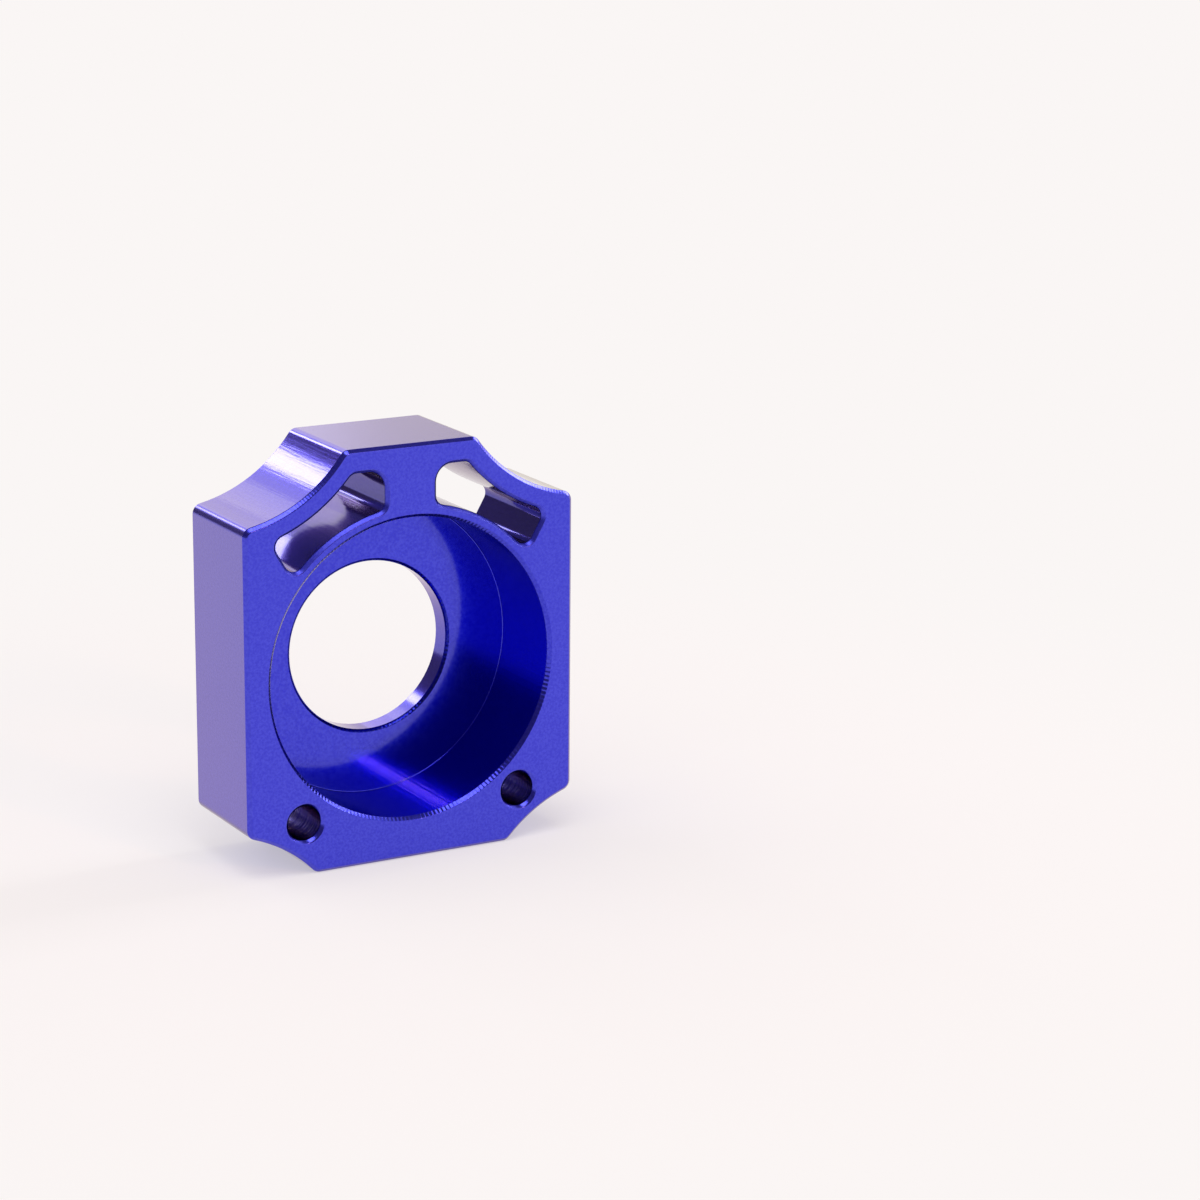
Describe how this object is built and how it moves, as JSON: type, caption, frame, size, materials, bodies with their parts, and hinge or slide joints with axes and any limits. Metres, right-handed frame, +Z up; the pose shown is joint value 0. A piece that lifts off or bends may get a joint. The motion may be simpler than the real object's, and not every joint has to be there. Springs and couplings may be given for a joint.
{
  "type": "motorcycle chain adjuster axle block",
  "caption": "Milled block that carries a wheel axle in a swingarm slot and slides in it to set the chain's tension, with a deep round recess and curved lightening slots.",
  "frame": {"origin": "on the axle's axis, halfway through the recess's floor, inside the wall of the axle's bore", "axes": "+Y from the recessed front face towards the back face along the axle, +X to the right when the front face is looked at, +Z up from the wide flat end towards the narrow flat end with the slots"},
  "size_m": [0.0516, 0.018, 0.0605],
  "materials": {
    "blue_anodised": "satin blue anodising over milled and turned faces"
  },
  "bodies": {
    "root": {"axle_block": "blue_anodised"}
  },
  "joints": []
}
